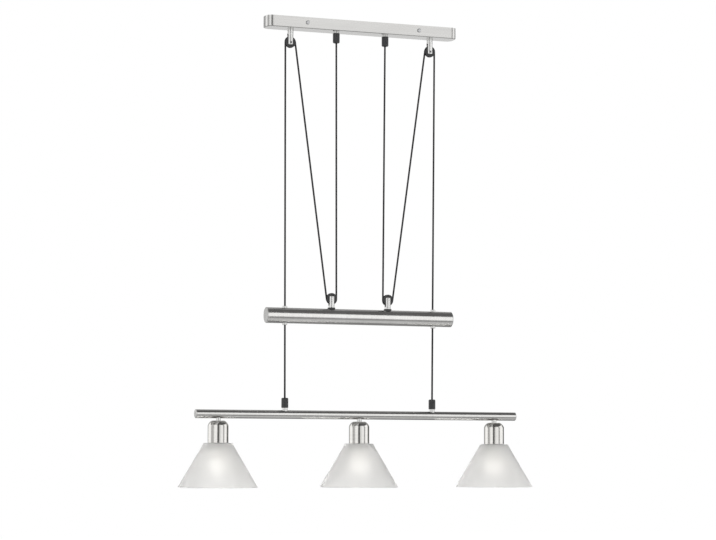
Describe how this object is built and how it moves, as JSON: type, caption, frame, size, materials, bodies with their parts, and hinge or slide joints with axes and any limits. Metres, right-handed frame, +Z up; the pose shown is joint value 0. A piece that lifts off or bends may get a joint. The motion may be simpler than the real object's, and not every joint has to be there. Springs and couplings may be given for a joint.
{
  "type": "rise and fall pendant",
  "caption": "Height-adjustable bar pendant with frosted glass cone shades, hung on cords over pulleys from a slim canopy and balanced by a round counterweight",
  "frame": {"origin": "Middle of the ceiling bracket, on the face that lies against the ceiling; everything hangs below it", "axes": "+Z up, X along the lamp bar and the counterweight, -Y towards the front long wall of the canopy"},
  "size_m": [0.8174, 0.1714, 1.033],
  "materials": {
    "nickel": "brushed satin nickel",
    "cup_metal": "polished satin nickel, turned",
    "machined_metal": "fine turned nickel plate",
    "steel": "zinc plated",
    "black_plastic": "moulded, satin",
    "cord_sheath": "smooth sheath, satin",
    "frosted_glass": "frosted, matt",
    "bulb_glass": "opal white",
    "white_plastic": "moulded thermoplastic",
    "brass": "plain"
  },
  "bodies": {
    "canopy": {"ceiling_bracket": "steel", "canopy_cover": "nickel", "canopy_screws": "machined_metal", "terminal_block": "white_plastic", "terminal_screws": "brass", "canopy_fork_nuts": "steel", "canopy_pulley_axles": "machined_metal", "canopy_grip_nuts": "steel", "canopy_grip_nipples": "machined_metal", "canopy_grip_screws": "black_plastic", "left_canopy_fork": "machined_metal", "right_canopy_fork": "machined_metal", "left_canopy_grip": "black_plastic", "right_canopy_grip": "black_plastic", "left_cord": "cord_sheath", "right_cord": "cord_sheath"},
    "counterweight": {"counterweight_tube": "nickel", "counterweight_core": "steel", "left_counterweight_cap": "nickel", "right_counterweight_cap": "nickel", "left_counterweight_fork": "machined_metal", "right_counterweight_fork": "machined_metal", "fork_washers": "black_plastic", "counterweight_pulley_axles": "machined_metal", "upper_guide_bushes": "machined_metal", "lower_guide_bushes": "machined_metal"},
    "lamp": {"lamp_bar": "nickel", "left_bar_cap": "nickel", "right_bar_cap": "nickel", "bar_leads": "cord_sheath", "bar_grip_nipples": "machined_metal", "left_bar_grip": "black_plastic", "right_bar_grip": "black_plastic", "bar_grip_screws": "black_plastic", "bulb_caps": "brass", "left_socket_stem": "machined_metal", "left_socket_cup": "cup_metal", "left_lamp_holder": "white_plastic", "left_shade_ring": "white_plastic", "left_glass_shade": "frosted_glass", "left_bulb": "bulb_glass", "middle_socket_stem": "machined_metal", "middle_socket_cup": "cup_metal", "middle_lamp_holder": "white_plastic", "middle_shade_ring": "white_plastic", "middle_glass_shade": "frosted_glass", "middle_bulb": "bulb_glass", "right_socket_stem": "machined_metal", "right_socket_cup": "cup_metal", "right_lamp_holder": "white_plastic", "right_shade_ring": "white_plastic", "right_glass_shade": "frosted_glass", "right_bulb": "bulb_glass"},
    "left_canopy_wheel": {"left_canopy_pulley": "black_plastic"},
    "right_canopy_wheel": {"right_canopy_pulley": "black_plastic"},
    "left_counterweight_wheel": {"left_counterweight_pulley": "black_plastic"},
    "right_counterweight_wheel": {"right_counterweight_pulley": "black_plastic"}
  },
  "joints": [
    {"name": "lamp_height", "type": "slide", "parent": "canopy", "child": "lamp", "axis": [0, 0, -1], "range_m": [-0.1, 0.6], "deforming": ["left_cord", "right_cord"]},
    {"name": "counterweight_travel", "type": "slide", "parent": "canopy", "child": "counterweight", "axis": [0, 0, 1], "range_m": [-0.05, 0.3]},
    {"name": "left_canopy_pulley_turn", "type": "hinge", "parent": "canopy", "child": "left_canopy_wheel", "pos_m": [-0.1655, 0, -0.0555], "axis": [0, -1, 0], "continuous": true},
    {"name": "right_canopy_pulley_turn", "type": "hinge", "parent": "canopy", "child": "right_canopy_wheel", "pos_m": [0.1655, 0, -0.0555], "axis": [0, 1, 0], "continuous": true},
    {"name": "left_counterweight_pulley_turn", "type": "hinge", "parent": "counterweight", "child": "left_counterweight_wheel", "pos_m": [-0.0662, 0, -0.6188], "axis": [0, 1, 0], "continuous": true},
    {"name": "right_counterweight_pulley_turn", "type": "hinge", "parent": "counterweight", "child": "right_counterweight_wheel", "pos_m": [0.0662, 0, -0.6188], "axis": [0, -1, 0], "continuous": true}
  ],
  "couplings": [
    {"joint": "counterweight_travel", "follows": "lamp_height", "ratio": 0.5},
    {"joint": "left_canopy_pulley_turn", "follows": "lamp_height", "rad_per_m": 87.719},
    {"joint": "left_counterweight_pulley_turn", "follows": "lamp_height", "rad_per_m": 43.86},
    {"joint": "right_canopy_pulley_turn", "follows": "lamp_height", "rad_per_m": 87.719},
    {"joint": "right_counterweight_pulley_turn", "follows": "lamp_height", "rad_per_m": 43.86}
  ]
}
